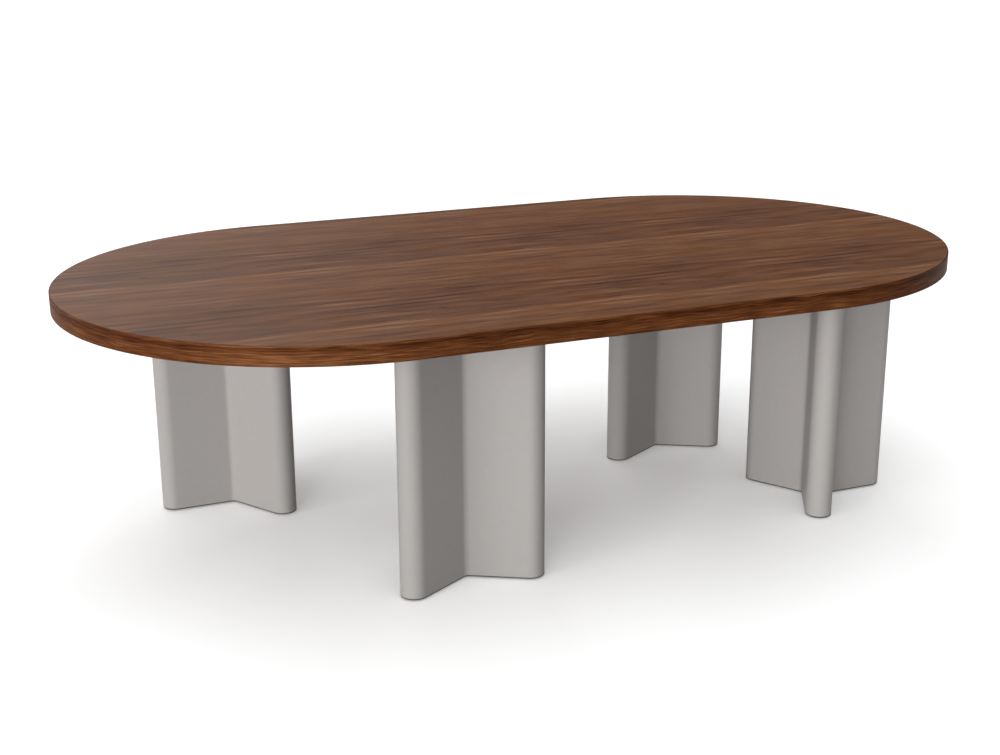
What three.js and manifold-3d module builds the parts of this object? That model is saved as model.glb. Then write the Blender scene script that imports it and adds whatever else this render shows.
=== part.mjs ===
// Conference table: a racetrack-shaped walnut top, 50 mm thick, on four hollow three-finned pedestals.
// Millimetres, +Z up. The origin is on the floor under the middle of the top, with +X along its length.
// The top is two boards glued face to face between veneers, with a solid lipping round the edge.
// Each pedestal is held by three bolts that reach a steel anchor plate trapped between the two boards,
// and stands on three screw glides, one in each fin.
import * as THREE from "three";
import { mergeVertices } from "three/addons/utils/BufferGeometryUtils.js";
import Module from "manifold-3d";

const wasm = await Module();
wasm.setup();

// Top
const TOP_LENGTH = 2600;
const TOP_WIDTH = 1450;
const TOP_THICKNESS = 50;
const TABLE_HEIGHT = 750;
const VENEER = 0.6;
const LIPPING = 3;
const ARRIS_RADIUS = 1.5;
const GLUE_LINE = 0.3;

// Pedestal: three fins with round tips, 120 degrees apart, folded from one thickness of sheet
const FIN_REACH = 226;
const FIN_THICKNESS = 75;
const VALLEY_RADIUS = 20;
const SHEET = 3;
const FLOOR_GAP = 4;
const RIM_RADIUS = 2;
const MOUNT_PLATE = 6;
const BASE_PLATE = 6;
const PLATE_FIT = 0.3;

// Where each pedestal stands, measured from the nearest end and long edge of the top to its axis,
// and the angle in degrees of its first fin from the length of the top
const BACK_LEFT_FROM_END = 530;
const BACK_LEFT_FROM_EDGE = 357;
const BACK_LEFT_TURN = 60;
const FRONT_LEFT_FROM_END = 940;
const FRONT_LEFT_FROM_EDGE = 318;
const FRONT_LEFT_TURN = 90;
const BACK_RIGHT_FROM_END = 702;
const BACK_RIGHT_FROM_EDGE = 416;
const BACK_RIGHT_TURN = 90;
const FRONT_RIGHT_FROM_END = 460;
const FRONT_RIGHT_FROM_EDGE = 435;
const FRONT_RIGHT_TURN = 0;

// Bolts that hold a pedestal to the top, one in each bay between the fins
const BOLT_DIAMETER = 8;
const BOLT_FROM_EDGE = 34;
const BOLT_HEAD_WIDTH = 13;
const BOLT_HEAD_HEIGHT = 8;
const BOLT_FLANGE_DIAMETER = 17;
const BOLT_FLANGE_HEIGHT = 1.5;
const BOLT_TIP_GAP = 1;
const BOLT_CHAMFER = 1;
const BOLT_HOLE_CLEARANCE = 0.5;
const THREAD_CLEARANCE = 0.3;
const ANCHOR_PLATE = 8;
const ANCHOR_MARGIN = 22;
const POCKET_FIT = 0.5;

// Screw glides: a foot with a socket, and a stem that turns in it and screws into the base plate
const GLIDE_FROM_TIP = 56;
const FOOT_DIAMETER = 44;
const FOOT_RIM = 5;
const FOOT_CHAMFER = 1.5;
const FOOT_HEIGHT = 14;
const HUB_DIAMETER = 22;
const SOCKET_FLOOR = 3;
const BALL_DIAMETER = 10;
const SOCKET_CLEARANCE = 0.6;
const NECK_DIAMETER = 7;
const LIP_CLEARANCE = 0.9;
const COLLAR_WIDTH = 17;
const COLLAR_HEIGHT = 5;
const COLLAR_GAP = 1;
const STEM_DIAMETER = 10;
const STEM_CHAMFER = 1;
const STEM_RESERVE = 18;
const BOSS_DIAMETER = 20;
const BOSS_HEIGHT = 12;
const SEAT_GAP = 0.3;

// Facets
const END_STEPS = 36;
const TIP_STEPS = 10;
const VALLEY_STEPS = 4;
const ROUND_STEPS = 2;
const CORNER_STEPS = 6;
const BOLT_SIDES = 8;
const STEM_SIDES = 12;
const FOOT_SIDES = 12;
const BALL_STEPS = 3;
const HEX_SIDES = 6;

// How far a cutter runs past the faces that it opens
const CUT_OVERRUN = 1;

// Heights
const underside = TABLE_HEIGHT - TOP_THICKNESS;
const backerTop = underside + VENEER;
const faceBottom = TABLE_HEIGHT - VENEER;
const boardJoint = (backerTop + faceBottom) / 2;
const pocketFloor = boardJoint - ANCHOR_PLATE;
const columnTop = underside - MOUNT_PLATE;
const collarBottom = FOOT_HEIGHT + COLLAR_GAP;
const collarTop = collarBottom + COLLAR_HEIGHT;
const basePlateBottom = collarTop + SEAT_GAP;
const basePlateTop = basePlateBottom + BASE_PLATE;
const bossTop = basePlateTop + BOSS_HEIGHT;
const stemTop = bossTop + STEM_RESERVE;
const ballCentre = SOCKET_FLOOR + SEAT_GAP + BALL_DIAMETER / 2;

// Plan distances from a pedestal's axis, and of the top's round ends
const finHalf = FIN_THICKNESS / 2;
const tipCentre = FIN_REACH - finHalf;
const glideRadius = FIN_REACH - GLIDE_FROM_TIP;
const plateEdge = tipCentre * Math.cos(Math.PI / 3) + finHalf;
const boltRadius = plateEdge - BOLT_FROM_EDGE;
const endCentre = (TOP_LENGTH - TOP_WIDTH) / 2;
const endRadius = TOP_WIDTH / 2;
const coreInset = LIPPING + GLUE_LINE;

const THIRDS = [0, 1, 2].map((k) => (k * 2 * Math.PI) / 3);
const BAY_TURN = Math.PI / 3;

const walnutFace = new THREE.MeshStandardMaterial({ color: 0x6e4c3a, roughness: 0.45, metalness: 0 });
const walnutEdge = new THREE.MeshStandardMaterial({ color: 0x6b3d24, roughness: 0.5, metalness: 0 });
const coreBoard = new THREE.MeshStandardMaterial({ color: 0xb08d63, roughness: 0.9, metalness: 0 });
const satinPaint = new THREE.MeshStandardMaterial({ color: 0xa39f9a, roughness: 0.42, metalness: 0.55 });
const zincSteel = new THREE.MeshStandardMaterial({ color: 0x9a9c9e, roughness: 0.35, metalness: 1 });
const blackNylon = new THREE.MeshStandardMaterial({ color: 0x1c1c1d, roughness: 0.6, metalness: 0 });

// Points of an arc, both ends included
function arc(x, y, radius, from, to, steps) {
  const points = [];
  for (let i = 0; i <= steps; i++) {
    const angle = from + ((to - from) * i) / steps;
    points.push(new THREE.Vector2(x + radius * Math.cos(angle), y + radius * Math.sin(angle)));
  }
  return points;
}

function circle(x, y, radius, sides) {
  return arc(x, y, radius, 0, 2 * Math.PI, sides).slice(0, sides);
}

// The outline of the top, drawn in by inset
function racetrack(inset) {
  const radius = endRadius - inset;
  return [
    ...arc(endCentre, 0, radius, -Math.PI / 2, Math.PI / 2, END_STEPS),
    ...arc(-endCentre, 0, radius, Math.PI / 2, (3 * Math.PI) / 2, END_STEPS),
  ];
}

// The outline of a pedestal, drawn in by inset: round tips on the fins and a round valley between each two
function finOutline(inset) {
  const half = finHalf - inset;
  const valley = VALLEY_RADIUS + inset;
  const valleyCentre = (half + valley) / Math.sin(Math.PI / 3);
  return THIRDS.flatMap((turn) => {
    const bay = turn + BAY_TURN;
    const facing = bay + Math.PI;
    return [
      ...arc(
        tipCentre * Math.cos(turn),
        tipCentre * Math.sin(turn),
        half,
        turn - Math.PI / 2,
        turn + Math.PI / 2,
        TIP_STEPS,
      ),
      ...arc(
        valleyCentre * Math.cos(bay),
        valleyCentre * Math.sin(bay),
        valley,
        facing + Math.PI / 6,
        facing - Math.PI / 6,
        VALLEY_STEPS,
      ),
    ];
  });
}

// A triangle with round corners whose centres lie at the given distance, the first one at angle start
function roundedTriangle(distance, radius, start) {
  return THIRDS.flatMap((third) => {
    const turn = third + start;
    return arc(
      distance * Math.cos(turn),
      distance * Math.sin(turn),
      radius,
      turn - Math.PI / 3,
      turn + Math.PI / 3,
      CORNER_STEPS,
    );
  });
}

// A flat piece between two heights, with holes
function slab(outline, low, high, holes = []) {
  const shape = new THREE.Shape(outline);
  shape.holes = holes.map((points) => new THREE.Path(points));
  const geometry = new THREE.ExtrudeGeometry(shape, { depth: 1, bevelEnabled: false });
  const position = geometry.getAttribute("position");
  for (let i = 0; i < position.count; i++) {
    position.setZ(i, position.getZ(i) === 0 ? low : high);
  }
  return geometry;
}

// A skin over sections that have as many points each: a loop of sections closes on itself,
// and a run of sections is closed by capping its first and last
function skin(sections, caps = null) {
  const width = sections[0].length;
  const faces = [];
  const runs = caps ? sections.length - 1 : sections.length;
  for (let s = 0; s < runs; s++) {
    const here = s * width;
    const next = ((s + 1) % sections.length) * width;
    for (let i = 0; i < width; i++) {
      const j = (i + 1) % width;
      faces.push(here + i, here + j, next + j, here + i, next + j, next + i);
    }
  }
  if (caps) {
    const last = (sections.length - 1) * width;
    caps.forEach(([a, b, c]) => faces.push(a, c, b, last + a, last + b, last + c));
  }
  const geometry = new THREE.BufferGeometry();
  geometry.setAttribute("position", new THREE.Float32BufferAttribute(sections.flat().flat(), 3));
  geometry.setIndex(faces);
  return geometry;
}

// A piece turned about a vertical axis, from a profile of radius and height pairs
function turned(profile, sides) {
  const points = profile.map(([radius, height]) => new THREE.Vector2(radius, height));
  return new THREE.LatheGeometry(points, sides).rotateX(Math.PI / 2);
}

function hexagon(widthAcrossFlats, low, high) {
  const corner = widthAcrossFlats / 2 / Math.cos(Math.PI / HEX_SIDES);
  return slab(circle(0, 0, corner, HEX_SIDES), low, high);
}

function solidOf(geometry) {
  const bare = geometry.index ? geometry.toNonIndexed() : geometry.clone();
  bare.deleteAttribute("normal");
  bare.deleteAttribute("uv");
  const merged = mergeVertices(bare);
  const vertProperties = new Float32Array(merged.getAttribute("position").array);
  const triVerts = new Uint32Array(merged.index.array);
  return new wasm.Manifold(new wasm.Mesh({ numProp: 3, vertProperties, triVerts }));
}

function geometryOf(solid) {
  const mesh = solid.getMesh();
  const geometry = new THREE.BufferGeometry();
  geometry.setAttribute("position", new THREE.BufferAttribute(mesh.vertProperties, 3));
  geometry.setIndex(new THREE.BufferAttribute(mesh.triVerts, 1));
  return geometry;
}

function joined(...geometries) {
  return geometryOf(geometries.map(solidOf).reduce((whole, piece) => whole.add(piece)));
}

function cut(geometry, cutters) {
  const blank = solidOf(geometry);
  return geometryOf(cutters.map(solidOf).reduce((whole, cutter) => whole.subtract(cutter), blank));
}

const table = new THREE.Group();

function add(parent, name, geometry, material) {
  const mesh = new THREE.Mesh(geometry, material);
  mesh.name = name;
  parent.add(mesh);
}

// Each pedestal's place: end is -1 on the left and 1 on the right, edge is -1 in front and 1 behind
function place(name, end, edge, fromEnd, fromEdge, turn) {
  const group = new THREE.Group();
  group.position.set(end * (TOP_LENGTH / 2 - fromEnd), edge * (TOP_WIDTH / 2 - fromEdge), 0);
  group.rotation.z = THREE.MathUtils.degToRad(turn);
  group.updateMatrix();
  return { name, group };
}

const places = [
  place("back_left", -1, 1, BACK_LEFT_FROM_END, BACK_LEFT_FROM_EDGE, BACK_LEFT_TURN),
  place("front_left", -1, -1, FRONT_LEFT_FROM_END, FRONT_LEFT_FROM_EDGE, FRONT_LEFT_TURN),
  place("back_right", 1, 1, BACK_RIGHT_FROM_END, BACK_RIGHT_FROM_EDGE, BACK_RIGHT_TURN),
  place("front_right", 1, -1, FRONT_RIGHT_FROM_END, FRONT_RIGHT_FROM_EDGE, FRONT_RIGHT_TURN),
];

// The bolts' places in plan about a pedestal's axis
const boltPlaces = THIRDS.map((third) => {
  const bay = third + BAY_TURN;
  return [boltRadius * Math.cos(bay), boltRadius * Math.sin(bay)];
});

// The top's boards and veneers. The lower board has a pocket for each anchor plate and a hole for each bolt.
function inEveryPlace(make) {
  return places.flatMap(({ group }) => make().map((geometry) => geometry.applyMatrix4(group.matrix)));
}

const boltHole = BOLT_DIAMETER / 2 + BOLT_HOLE_CLEARANCE;
const boltCutters = inEveryPlace(() =>
  boltPlaces.map(([x, y]) =>
    slab(circle(x, y, boltHole, BOLT_SIDES), underside - CUT_OVERRUN, pocketFloor + CUT_OVERRUN),
  ),
);
const pocketCutters = inEveryPlace(() => [
  slab(
    roundedTriangle(boltRadius, ANCHOR_MARGIN + POCKET_FIT, BAY_TURN),
    pocketFloor,
    boardJoint + CUT_OVERRUN,
  ),
]);
const core = racetrack(coreInset);

add(table, "face_veneer", slab(core, faceBottom, TABLE_HEIGHT), walnutFace);
add(table, "upper_board", slab(core, boardJoint, faceBottom), coreBoard);
const lowerBoard = cut(slab(core, backerTop, boardJoint), [...boltCutters, ...pocketCutters]);
add(table, "lower_board", lowerBoard, coreBoard);
add(table, "backer_veneer", cut(slab(core, underside, backerTop), boltCutters), walnutFace);

// The lipping: a section of distance in from the outer edge, and height, with its two outer arrises rounded.
// It is bent round the two ends and runs straight between them.
function arrisArc(height, from, to) {
  return arc(ARRIS_RADIUS, height, ARRIS_RADIUS, from, to, ROUND_STEPS);
}

const lippingSection = [
  new THREE.Vector2(LIPPING, underside),
  new THREE.Vector2(LIPPING, TABLE_HEIGHT),
  ...arrisArc(TABLE_HEIGHT - ARRIS_RADIUS, Math.PI / 2, Math.PI),
  ...arrisArc(underside + ARRIS_RADIUS, Math.PI, (3 * Math.PI) / 2),
];
const lippingCaps = THREE.ShapeUtils.triangulateShape(lippingSection, []);

function endLipping(side) {
  const from = side > 0 ? -Math.PI / 2 : Math.PI / 2;
  const sections = [];
  for (let i = 0; i <= END_STEPS; i++) {
    const angle = from + (Math.PI * i) / END_STEPS;
    sections.push(
      lippingSection.map((p) => [
        side * endCentre + (endRadius - p.x) * Math.cos(angle),
        (endRadius - p.x) * Math.sin(angle),
        p.y,
      ]),
    );
  }
  return skin(sections, lippingCaps);
}

function sideLipping(side) {
  const reach = endCentre - GLUE_LINE;
  const ends = [side * reach, -side * reach];
  return skin(
    ends.map((x) => lippingSection.map((p) => [x, side * (endRadius - p.x), p.y])),
    lippingCaps,
  );
}

add(table, "lipping_right_end", endLipping(1), walnutEdge);
add(table, "lipping_left_end", endLipping(-1), walnutEdge);
add(table, "lipping_back", sideLipping(1), walnutEdge);
add(table, "lipping_front", sideLipping(-1), walnutEdge);

// The folded sheet of a pedestal, open at both ends, with the outer edge of its foot rounded
function column() {
  const ring = (inset, height) => finOutline(inset).map((p) => [p.x, p.y, height]);
  const rings = [];
  for (let i = 0; i <= ROUND_STEPS; i++) {
    const angle = (Math.PI / 2) * (i / ROUND_STEPS);
    rings.push(ring(RIM_RADIUS * (1 - Math.sin(angle)), FLOOR_GAP + RIM_RADIUS * (1 - Math.cos(angle))));
  }
  rings.push(ring(0, columnTop), ring(SHEET, columnTop), ring(SHEET, FLOOR_GAP));
  return skin(rings);
}

// The plate on top of a pedestal spans its fins, with a hole in each bay
function mountPlate() {
  const holes = boltPlaces.map(([x, y]) => circle(x, y, boltHole, BOLT_SIDES));
  return slab(roundedTriangle(tipCentre, finHalf, 0), columnTop, underside, holes);
}

// The plate trapped between the boards has a tapped hole over each hole of the mount plate
function anchorPlate() {
  const tapped = BOLT_DIAMETER / 2 + THREAD_CLEARANCE;
  const holes = boltPlaces.map(([x, y]) => circle(x, y, tapped, BOLT_SIDES));
  return slab(roundedTriangle(boltRadius, ANCHOR_MARGIN, BAY_TURN), pocketFloor, boardJoint, holes);
}

// The plate inside the foot of a pedestal has a tapped boss in each fin
function basePlate() {
  const plate = slab(finOutline(SHEET + PLATE_FIT), basePlateBottom, basePlateTop);
  const glides = THIRDS.map((third) => [glideRadius * Math.cos(third), glideRadius * Math.sin(third)]);
  const bosses = glides.map(([x, y]) =>
    slab(circle(x, y, BOSS_DIAMETER / 2, STEM_SIDES), basePlateBottom + BASE_PLATE / 2, bossTop),
  );
  const tapped = STEM_DIAMETER / 2 + THREAD_CLEARANCE;
  const holes = glides.map(([x, y]) =>
    slab(circle(x, y, tapped, STEM_SIDES), basePlateBottom - CUT_OVERRUN, bossTop + CUT_OVERRUN),
  );
  return cut(joined(plate, ...bosses), holes);
}

// A flange bolt, head down
function bolt() {
  const radius = BOLT_DIAMETER / 2;
  const tip = boardJoint - BOLT_TIP_GAP;
  const shank = turned(
    [
      [0, columnTop - BOLT_FLANGE_HEIGHT],
      [BOLT_FLANGE_DIAMETER / 2, columnTop - BOLT_FLANGE_HEIGHT],
      [BOLT_FLANGE_DIAMETER / 2, columnTop],
      [radius, columnTop],
      [radius, tip - BOLT_CHAMFER],
      [radius - BOLT_CHAMFER, tip],
      [0, tip],
    ],
    BOLT_SIDES,
  );
  const head = hexagon(BOLT_HEAD_WIDTH, columnTop - BOLT_HEAD_HEIGHT, columnTop - BOLT_FLANGE_HEIGHT / 2);
  return joined(shank, head);
}

// The foot of a glide: a chamfered disc with a hub, whose socket narrows to a lip above the ball
function glideFoot() {
  const socket = BALL_DIAMETER / 2 + SOCKET_CLEARANCE;
  const lip = NECK_DIAMETER / 2 + LIP_CLEARANCE;
  const lipHeight = ballCentre + Math.sqrt(socket * socket - lip * lip);
  return turned(
    [
      [0, 0],
      [FOOT_DIAMETER / 2 - FOOT_CHAMFER, 0],
      [FOOT_DIAMETER / 2, FOOT_CHAMFER],
      [FOOT_DIAMETER / 2, FOOT_RIM],
      [HUB_DIAMETER / 2, FOOT_HEIGHT],
      [lip, FOOT_HEIGHT],
      [lip, lipHeight],
      [socket, ballCentre],
      [socket, SOCKET_FLOOR],
      [0, SOCKET_FLOOR],
    ],
    FOOT_SIDES,
  );
}

// The stem of a glide: a ball, a neck, a six-sided collar for a spanner, and the screw
function glideStem() {
  const ball = BALL_DIAMETER / 2;
  const neck = NECK_DIAMETER / 2;
  const screw = STEM_DIAMETER / 2;
  const neckAngle = Math.PI - Math.asin(neck / ball);
  const profile = [];
  for (let i = 0; i <= BALL_STEPS; i++) {
    const angle = (neckAngle * i) / BALL_STEPS;
    profile.push([ball * Math.sin(angle), ballCentre - ball * Math.cos(angle)]);
  }
  profile.push(
    [neck, collarBottom + COLLAR_HEIGHT / 2],
    [screw, collarBottom + COLLAR_HEIGHT / 2],
    [screw, stemTop - STEM_CHAMFER],
    [screw - STEM_CHAMFER, stemTop],
    [0, stemTop],
  );
  return joined(turned(profile, STEM_SIDES), hexagon(COLLAR_WIDTH, collarBottom, collarTop));
}

for (const { name, group } of places) {
  add(group, `column_${name}`, column(), satinPaint);
  add(group, `mount_plate_${name}`, mountPlate(), satinPaint);
  add(group, `anchor_plate_${name}`, anchorPlate(), zincSteel);
  add(group, `base_plate_${name}`, basePlate(), zincSteel);
  boltPlaces.forEach(([x, y], k) => {
    const spot = new THREE.Group();
    spot.position.set(x, y, 0);
    add(spot, `bolt_${name}_${k + 1}`, bolt(), zincSteel);
    group.add(spot);
  });
  THIRDS.forEach((third, k) => {
    const spot = new THREE.Group();
    spot.position.set(glideRadius * Math.cos(third), glideRadius * Math.sin(third), 0);
    add(spot, `glide_foot_${name}_${k + 1}`, glideFoot(), blackNylon);
    add(spot, `glide_stem_${name}_${k + 1}`, glideStem(), zincSteel);
    group.add(spot);
  });
  table.add(group);
}

export default table;
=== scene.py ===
"""Conference table: the looks of every piece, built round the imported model. Metres, +Z up."""
import math

import bpy
from mathutils import Matrix, Vector


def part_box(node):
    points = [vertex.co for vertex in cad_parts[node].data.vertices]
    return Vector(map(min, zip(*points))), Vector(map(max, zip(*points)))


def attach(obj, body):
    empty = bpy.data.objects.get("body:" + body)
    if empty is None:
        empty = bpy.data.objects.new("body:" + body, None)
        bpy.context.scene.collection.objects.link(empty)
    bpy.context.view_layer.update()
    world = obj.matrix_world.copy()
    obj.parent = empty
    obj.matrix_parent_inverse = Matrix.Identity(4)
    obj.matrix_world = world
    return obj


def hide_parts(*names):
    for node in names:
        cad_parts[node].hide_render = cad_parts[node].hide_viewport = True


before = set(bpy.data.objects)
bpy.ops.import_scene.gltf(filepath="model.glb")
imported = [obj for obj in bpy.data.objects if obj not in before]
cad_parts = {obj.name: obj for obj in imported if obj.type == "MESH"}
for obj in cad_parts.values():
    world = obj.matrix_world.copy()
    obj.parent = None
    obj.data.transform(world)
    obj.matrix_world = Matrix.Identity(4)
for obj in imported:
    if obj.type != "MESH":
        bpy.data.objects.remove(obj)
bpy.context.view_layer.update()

# Core boards: two sheets of pressed wood fibre, glued face to face with the anchor plates between them.
# They are sawn to the outline of the top and covered all round, so they keep the solids' own shape.
FIBRE_TAN = (0.36, 0.25, 0.13, 1)
FIBRE_BROWN = (0.24, 0.15, 0.075, 1)
FIBRE_FLECKS_PER_METRE = 420
FIBRE_ROUGHNESS = (0.82, 0.95)
FIBRE_BUMP = (0.3, 0.0003)


def add_node(tree, kind, inputs=None, **settings):
    """A node with its settings, and its inputs set to a value or linked to another node's socket."""
    made = tree.nodes.new(kind)
    for name, value in settings.items():
        setattr(made, name, value)
    for key, value in (inputs or {}).items():
        if isinstance(value, bpy.types.NodeSocket):
            tree.links.new(value, made.inputs[key])
        else:
            made.inputs[key].default_value = value
    return made


def new_group(name, inputs, outputs):
    """An empty shader group with its named sockets, and the nodes that hold them."""
    group = bpy.data.node_groups.new(name, "ShaderNodeTree")
    for label, kind in inputs.items():
        group.interface.new_socket(label, in_out="INPUT", socket_type=kind)
    for label, kind in outputs.items():
        group.interface.new_socket(label, in_out="OUTPUT", socket_type=kind)
    return group, group.nodes.new("NodeGroupInput"), group.nodes.new("NodeGroupOutput")


def use_group(tree, group, inputs):
    return add_node(tree, "ShaderNodeGroup", inputs, node_tree=group)


def new_finish(name):
    """A material with its node tree, its surface shader and its object coordinates."""
    material = bpy.data.materials.new(name)
    material.use_nodes = True
    tree = material.node_tree
    place = add_node(tree, "ShaderNodeTexCoord").outputs["Object"]
    return material, tree, tree.nodes["Principled BSDF"], place


# Nearly all of a noise's values lie between these two
NOISE_LOW, NOISE_HIGH = 0.3, 0.7


def spread(tree, value, low, high, from_low=NOISE_LOW, from_high=NOISE_HIGH):
    """A noise value spread over the range from low to high."""
    inputs = {"Value": value, "From Min": from_low, "From Max": from_high, "To Min": low, "To Max": high}
    return add_node(tree, "ShaderNodeMapRange", inputs).outputs["Result"]


def calc(tree, operation, first, second=0.0):
    return add_node(tree, "ShaderNodeMath", {0: first, 1: second}, operation=operation).outputs[0]


def mix_colours(tree, factor, first, second):
    """Two colours mixed by a factor. The sockets 6 and 7 and the output 2 are the node's colours."""
    inputs = {0: factor, 6: first, 7: second}
    return add_node(tree, "ShaderNodeMix", inputs, data_type="RGBA").outputs[2]


def set_finish(tree, shader, colour, rough):
    """Links a colour and a roughness that change over the surface to its shader."""
    tree.links.new(colour, shader.inputs["Base Color"])
    tree.links.new(rough, shader.inputs["Roughness"])


def add_bump(tree, shader, height, strength, depth):
    """Roughens the surface by a height, at a strength from 0 to 1 and to a depth in metres."""
    inputs = {"Height": height, "Strength": strength, "Distance": depth}
    tree.links.new(add_node(tree, "ShaderNodeBump", inputs).outputs["Normal"], shader.inputs["Normal"])


# Fleck: the fine uneven tone of pressed, sprayed or plated surfaces
fleck, entry, leave = new_group(
    "fleck",
    {"Vector": "NodeSocketVector", "Per metre": "NodeSocketFloat"},
    {"Tone": "NodeSocketFloat", "Cloud": "NodeSocketFloat"},
)
CLOUD_SHARE = 0.06
TONE_DETAIL = 3.0
CLOUD_DETAIL = 2.0
per_metre = entry.outputs["Per metre"]
clouds_per_metre = calc(fleck, "MULTIPLY", per_metre, CLOUD_SHARE)
for label, scale, detail in (
    ("Tone", per_metre, TONE_DETAIL),
    ("Cloud", clouds_per_metre, CLOUD_DETAIL),
):
    inputs = {"Vector": entry.outputs["Vector"], "Scale": scale, "Detail": detail}
    noise = add_node(fleck, "ShaderNodeTexNoise", inputs).outputs["Fac"]
    fleck.links.new(spread(fleck, noise, 0.0, 1.0), leave.inputs[label])


def fibreboard():
    material, tree, shader, place = new_finish("pressed_fibre")
    flecks = use_group(tree, fleck, {"Vector": place, "Per metre": FIBRE_FLECKS_PER_METRE})
    colour = mix_colours(tree, flecks.outputs["Tone"], FIBRE_BROWN, FIBRE_TAN)
    rough = spread(tree, flecks.outputs["Cloud"], *FIBRE_ROUGHNESS, 0.0, 1.0)
    set_finish(tree, shader, colour, rough)
    add_bump(tree, shader, flecks.outputs["Tone"], *FIBRE_BUMP)
    return material


def dress(name, material):
    """Gives a piece that keeps the solid's shape its finish."""
    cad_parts[name].material_slots[0].material = material


board_finish = fibreboard()
for board in ("upper_board", "lower_board"):
    dress(board, board_finish)

# Anchor plates: steel plates with three tapped holes, laid in pockets of the lower board before glueing.
# Laser-cut and zinc plated. They are buried in the top, so the solids' shape is all there is.
PEDESTALS = ("back_left", "front_left", "back_right", "front_right")
THIRDS = (1, 2, 3)
ZINC_PALE = (0.52, 0.53, 0.54, 1)
ZINC_DULL = (0.34, 0.35, 0.36, 1)
ZINC_SPANGLES_PER_METRE = 260
ZINC_ROUGHNESS = (0.28, 0.46)
ZINC_BUMP = (0.08, 0.0001)


def zinc_plate():
    material, tree, shader, place = new_finish("zinc_plate")
    spangle = add_node(
        tree, "ShaderNodeTexVoronoi", {"Vector": place, "Scale": ZINC_SPANGLES_PER_METRE}
    ).outputs["Color"]
    flecks = use_group(tree, fleck, {"Vector": place, "Per metre": ZINC_SPANGLES_PER_METRE})
    tone = calc(tree, "MULTIPLY", spangle, flecks.outputs["Cloud"])
    rough = spread(tree, flecks.outputs["Tone"], *ZINC_ROUGHNESS, 0.0, 1.0)
    set_finish(tree, shader, mix_colours(tree, tone, ZINC_DULL, ZINC_PALE), rough)
    shader.inputs["Metallic"].default_value = 1.0
    add_bump(tree, shader, flecks.outputs["Tone"], *ZINC_BUMP)
    return material


zinc_finish = zinc_plate()
for name in PEDESTALS:
    dress(f"anchor_plate_{name}", zinc_finish)

# Face veneer and backer: thin walnut leaves, slip-matched side by side with the grain along the table,
# pressed on to the boards and given a matt lacquer. The same figure comes round in each leaf.
LEAF_LENGTH = 0.618
LEAF_WIDTH = 0.622
LEAF_START = 0.098
LEAF_WANDER = 0.007
WANDER_SIZE = (0.16, 0.05)
WANDER_DETAIL = 2.0
BLUSH_SIZE = (0.14, 0.06)
BLUSH_DETAIL = 1.0
BLUSH_SATURATION = (0.94, 1.06)
LEAF_STREAK_SIZE = (0.19, 0.013)
LEAF_STREAK_SHARE = 0.50
FIBRE_SHARE = 0.34
PORE_SHARE = -0.10
FEATURE_SHARE = 0.21
FEATURE_FRAY = 0.6
WALNUT_ROUGHNESS = (0.34, 0.46)
WALNUT_GLOSS = 0.3
PORE_BUMP = (0.15, 0.0001)
# Walnut from heart streak to sapwood streak, with the share of the tone at which each is reached
WALNUT_TONES = (
    (0.0, (0.037, 0.012, 0.006, 1)),
    (0.3, (0.098, 0.035, 0.014, 1)),
    (0.5, (0.144, 0.055, 0.020, 1)),
    (0.7, (0.190, 0.078, 0.031, 1)),
    (1.0, (0.312, 0.152, 0.072, 1)),
)
# Bands across one leaf, from its front edge to its back edge: share of the width, and tone
LEAF_BANDS = (
    (0.00, 0.49),
    (0.06, 0.47),
    (0.12, 0.40),
    (0.16, 0.42),
    (0.19, 0.33),
    (0.24, 0.45),
    (0.26, 0.40),
    (0.29, 0.48),
    (0.35, 0.38),
    (0.39, 0.46),
    (0.50, 0.50),
    (0.60, 0.56),
    (0.70, 0.52),
    (0.81, 0.56),
    (0.90, 0.60),
    (0.94, 0.57),
    (0.97, 0.45),
    (1.00, 0.49),
)
# Single marks of one leaf: place along the table, place back from the leaf's front edge,
# length, width, and tone (pale above nought, dark below)
LEAF_MARKS = (
    (-0.025, 0.577, 0.56, 0.024, 1.3),
    (-0.035, 0.603, 0.58, 0.015, -0.6),
    (-0.035, 0.185, 0.25, 0.022, 1.2),
    (-0.055, 0.217, 0.24, 0.028, -0.7),
    (0.245, 0.107, 0.19, 0.032, 0.6),
    (-0.065, 0.144, 0.60, 0.014, 0.5),
    (0.060, 0.125, 0.31, 0.019, -0.9),
    (0.299, 0.160, 0.38, 0.017, -0.8),
    (0.324, 0.230, 0.28, 0.038, -0.8),
    (0.215, 0.347, 0.20, 0.020, 0.5),
    (0.215, 0.326, 0.24, 0.015, -0.9),
    (-0.255, 0.307, 0.13, 0.018, 0.4),
    (-0.255, 0.282, 0.14, 0.017, -0.5),
    (-0.145, 0.354, 0.13, 0.019, -0.35),
    (0.190, 0.492, 0.21, 0.032, 0.35),
    (-0.015, 0.474, 0.12, 0.032, -0.4),
    (-0.240, 0.017, 0.20, 0.019, -0.5),
    (-0.030, 0.097, 0.58, 0.080, -0.35),
    (-0.068, 0.067, 0.02, 0.035, -0.6),
    (0.195, 0.049, 0.04, 0.030, -1.0),
)

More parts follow.
